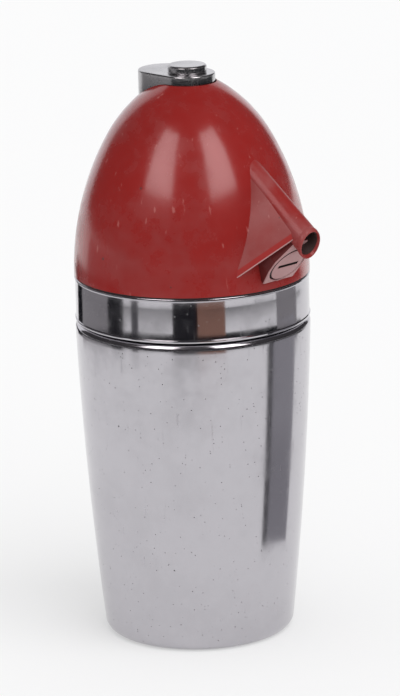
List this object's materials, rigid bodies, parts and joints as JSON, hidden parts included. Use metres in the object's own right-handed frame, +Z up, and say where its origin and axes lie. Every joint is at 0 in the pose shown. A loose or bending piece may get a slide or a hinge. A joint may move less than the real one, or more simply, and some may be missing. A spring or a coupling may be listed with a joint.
{
  "type": "soda siphon",
  "caption": "Soda siphon: tapering chrome bottle, chrome collar, domed red screw-on head with sloping spout, slotted charger cap and an oblong thumb lever.",
  "frame": {"origin": "middle of the flat foot, on the bottle's centre line", "axes": "+Z up along the centre line, +X the way the spout points, thumb lever's tail towards -X"},
  "size_m": [0.128, 0.106, 0.2608],
  "materials": {
    "bottle_chrome": "worn bright plating with fine pits",
    "collar_chrome": "bright plating",
    "dome_red": "glossy red enamel, a little worn",
    "cap_paint": "worn matt paint",
    "lever_chrome": "satin plating",
    "knob_chrome": "satin plating",
    "liner_steel": "dark stained steel",
    "tube_steel": "drawn tube",
    "bulb_steel": "bare steel",
    "steel": "turned steel",
    "brass": "turned brass",
    "cast_alloy": "die cast",
    "rubber": "black rubber",
    "nylon": "off-white nylon"
  },
  "bodies": {
    "bottle": {"bottle_shell": "bottle_chrome", "neck_ring": "brass"},
    "slip_ring": {"slip_ring": "nylon"},
    "head_gasket": {"head_gasket": "rubber"},
    "head": {"collar_band": "collar_chrome", "rim_gasket": "rubber", "dome_shell": "dome_red", "head_base": "cast_alloy", "head_screws": "steel", "valve_body": "brass", "column_screws": "steel", "valve_seat": "brass", "gland_nut": "brass", "outlet_duct": "brass", "spout_liner": "liner_steel", "dip_tube": "tube_steel", "dip_nut": "brass", "strainer": "nylon", "charger_holder": "brass", "piercing_pin": "steel", "pin_seal": "rubber", "gas_tube": "tube_steel", "check_sleeve": "rubber", "relief_valve": "brass", "lever_bracket": "steel", "lever_pin": "steel", "valve_spring": "steel"},
    "thumb_lever": {"lever_plate": "lever_chrome", "lever_knob": "knob_chrome", "knob_rivet": "steel"},
    "valve_stem": {"valve_stem": "steel", "valve_washer": "rubber"},
    "charger_bulb": {"charger_bulb": "bulb_steel"},
    "cap_washer": {"cap_washer": "nylon"},
    "cap_ring": {"cap_ring": "rubber"},
    "charger_cap": {"charger_cap": "cap_paint"}
  },
  "joints": [
    {"name": "head_lift", "type": "slide", "parent": "bottle", "child": "slip_ring", "axis": [0, 0, 1], "range_m": [0, 0.165]},
    {"name": "head_rise", "type": "slide", "parent": "slip_ring", "child": "head_gasket", "axis": [0, 0, 1], "range_m": [0, 0.01201]},
    {"name": "head_turn", "type": "hinge", "parent": "head_gasket", "child": "head", "pos_m": [0, 0, 0.1663], "axis": [0, 0, 1], "range_deg": [0, 1440]},
    {"name": "thumb_press", "type": "hinge", "parent": "head", "child": "thumb_lever", "pos_m": [0.0045, 0, 0.25], "axis": [0, -1, 0], "range_deg": [0, 7], "stiffness_Nm_per_rad": 0.333, "springref_deg": -11.23},
    {"name": "stem_slide", "type": "slide", "parent": "head", "child": "valve_stem", "axis": [0, 0, -1], "range_m": [0, 0.0025], "deforming": ["valve_spring"]},
    {"name": "cap_out", "type": "slide", "parent": "head", "child": "cap_washer", "axis": [0.7934, 0, -0.6088], "range_m": [0, 0.09]},
    {"name": "cap_rise", "type": "slide", "parent": "cap_washer", "child": "cap_ring", "axis": [0.7934, 0, -0.6088], "range_m": [0, 0.00601]},
    {"name": "cap_turn", "type": "hinge", "parent": "cap_ring", "child": "charger_cap", "pos_m": [0.0597, 0, 0.17829], "axis": [0.7934, 0, -0.6088], "range_deg": [0, 1440]},
    {"name": "bulb_out", "type": "slide", "parent": "head", "child": "charger_bulb", "axis": [0.7934, 0, -0.6088], "range_m": [0, 0.077]}
  ],
  "couplings": [
    {"joint": "head_rise", "follows": "head_turn", "m_per_rad": 0.00047746},
    {"joint": "stem_slide", "follows": "thumb_press", "m_per_rad": 0.0204},
    {"joint": "cap_rise", "follows": "cap_turn", "m_per_rad": 0.00023873},
    {"joint": "bulb_out", "follows": "cap_out", "ratio": 0.85}
  ]
}
